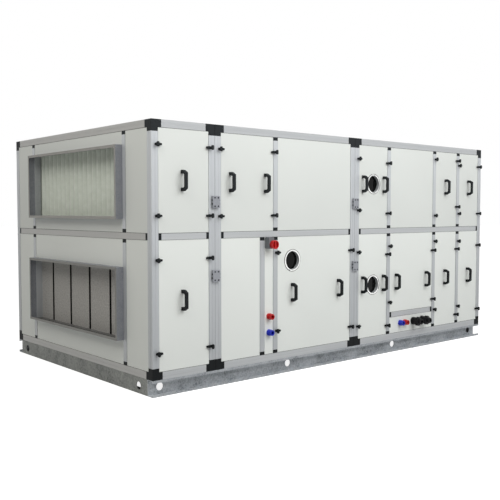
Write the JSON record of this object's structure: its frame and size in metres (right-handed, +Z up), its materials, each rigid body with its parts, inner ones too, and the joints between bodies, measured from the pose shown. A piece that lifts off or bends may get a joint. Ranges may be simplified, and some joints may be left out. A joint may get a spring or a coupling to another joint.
{
  "type": "air handling unit",
  "caption": "Double-deck modular air handling unit on a galvanised base, with aluminium frame, pale access doors, duct collars at both ends and capped pipe stubs.",
  "frame": {"origin": "ground level under the middle of the unit's overall box", "axes": "+X along the long access side from the first section to the third, +Y from the access side to the back, +Z up"},
  "size_m": [4.59, 2.596, 2.13],
  "materials": {
    "galvanised_steel": "hot-dip galvanised sheet with spangle",
    "aluminium_profile": "mill-finish extruded aluminium",
    "seal_rubber": "closed-cell seal strip",
    "black_nylon": "moulded glass-filled nylon",
    "panel_paint": "pale grey-white coil-coated steel",
    "inner_sheet": "plain zinc-coated sheet",
    "collar_sheet": "folded zinc-coated sheet",
    "filter_media": "pleated synthetic fleece",
    "baffle_fleece": "glass-fleece facing on mineral wool",
    "sight_frame_metal": "bright anodised aluminium ring",
    "sight_glass": "clear double pane over a dark inside",
    "grey_plastic": "moulded grey plastic",
    "red_plastic": "moulded red plastic",
    "blue_plastic": "moulded blue plastic",
    "cast_zinc": "die-cast zinc",
    "plated_screws": "dark zinc-plated screws"
  },
  "bodies": {
    "casing": {"base_rail_front": "galvanised_steel", "base_rail_back": "galvanised_steel", "base_rail_left": "galvanised_steel", "base_rail_right": "galvanised_steel", "base_cross_members": "galvanised_steel", "frame_section_1": "aluminium_profile", "frame_section_2": "aluminium_profile", "frame_section_3": "aluminium_profile", "section_seals": "seal_rubber", "corner_blocks": "black_nylon", "rail_connectors": "black_nylon", "rails_and_mullions_front": "aluminium_profile", "rails_and_mullions_back": "aluminium_profile", "rails_and_mullions_ends": "aluminium_profile", "mullions_roof_floor": "aluminium_profile", "doors_section_1": "panel_paint", "doors_section_2": "panel_paint", "doors_section_3_upper": "panel_paint", "doors_section_3_lower": "panel_paint", "panels_section_2": "panel_paint", "panels_section_3": "panel_paint", "end_panels_left": "panel_paint", "end_panels_right": "panel_paint", "back_panels": "panel_paint", "roof_panels": "panel_paint", "floor_panels": "panel_paint", "deck_panels": "inner_sheet", "duct_collar_left_upper": "collar_sheet", "duct_collar_left_lower": "collar_sheet", "duct_collar_right_upper": "collar_sheet", "duct_collar_right_lower": "collar_sheet", "filter_banks": "filter_media", "attenuator_baffles": "baffle_fleece", "door_handles": "black_nylon", "panel_clamps": "black_nylon", "sight_glass_frames": "sight_frame_metal", "sight_glass_panes": "sight_glass", "isolator_box": "grey_plastic", "pipe_stubs_flow": "red_plastic", "pipe_stubs_return": "blue_plastic", "drain_unions": "black_nylon", "joint_blocks": "cast_zinc", "joint_screws": "plated_screws"},
    "rotary_switch": {"isolator_knob": "red_plastic"}
  },
  "joints": [
    {"name": "isolator_turn", "type": "hinge", "parent": "casing", "child": "rotary_switch", "pos_m": [-1.035, -1.23, 1.146], "axis": [0, -1, 0], "range_deg": [0, 90]}
  ]
}
